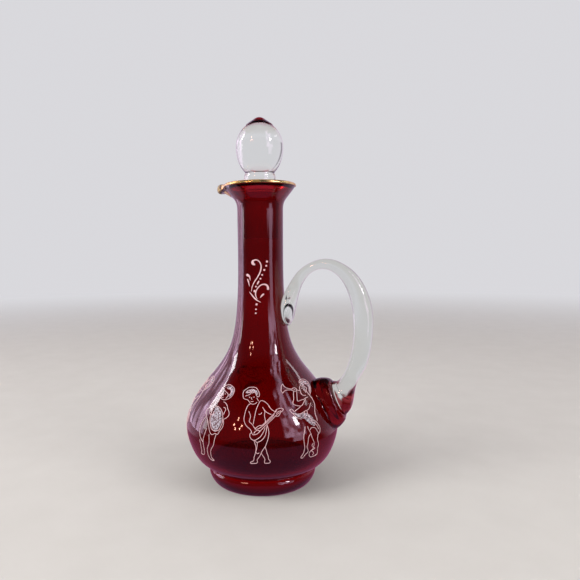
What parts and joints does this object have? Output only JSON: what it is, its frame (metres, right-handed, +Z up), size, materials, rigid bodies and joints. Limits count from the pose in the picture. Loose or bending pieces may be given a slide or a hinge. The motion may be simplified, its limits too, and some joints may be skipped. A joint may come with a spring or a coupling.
{
  "type": "cruet",
  "caption": "Footed blown glass cruet in dark ruby with a tall neck, gilded pouring lip, clear drawn loop handle and a clear egg stopper that lifts out.",
  "frame": {"origin": "centre of the ground rest face under the foot", "axes": "+Z up along the axis of the body and the stopper, +X towards the handle, -X towards the pouring spout"},
  "size_m": [0.0992, 0.0808, 0.19],
  "materials": {
    "ruby_glass": "ruby glass, fire polished, bright red at the thin mouth and near black through the filled depth of the bulb",
    "clear_glass": "clear colourless glass, fire polished, with drawn ripples on the handle and a ground plug on the stopper",
    "gilding": "fired gilding, warm gold, thin and a little worn on the outer edge",
    "enamel": "raised white enamel painted in lines and dots, pinkish where it is thin over the ruby glass"
  },
  "bodies": {
    "vessel": {"body_vessel": "ruby_glass", "foot_ring": "ruby_glass", "handle_pad": "ruby_glass", "handle_rod": "clear_glass", "rim_gilding": "gilding"},
    "stopper": {"stopper_body": "clear_glass", "stopper_tip": "ruby_glass"}
  },
  "joints": [
    {"name": "stopper_lift", "type": "slide", "parent": "vessel", "child": "stopper", "axis": [0, 0, 1], "range_m": [0, 0.045]}
  ]
}
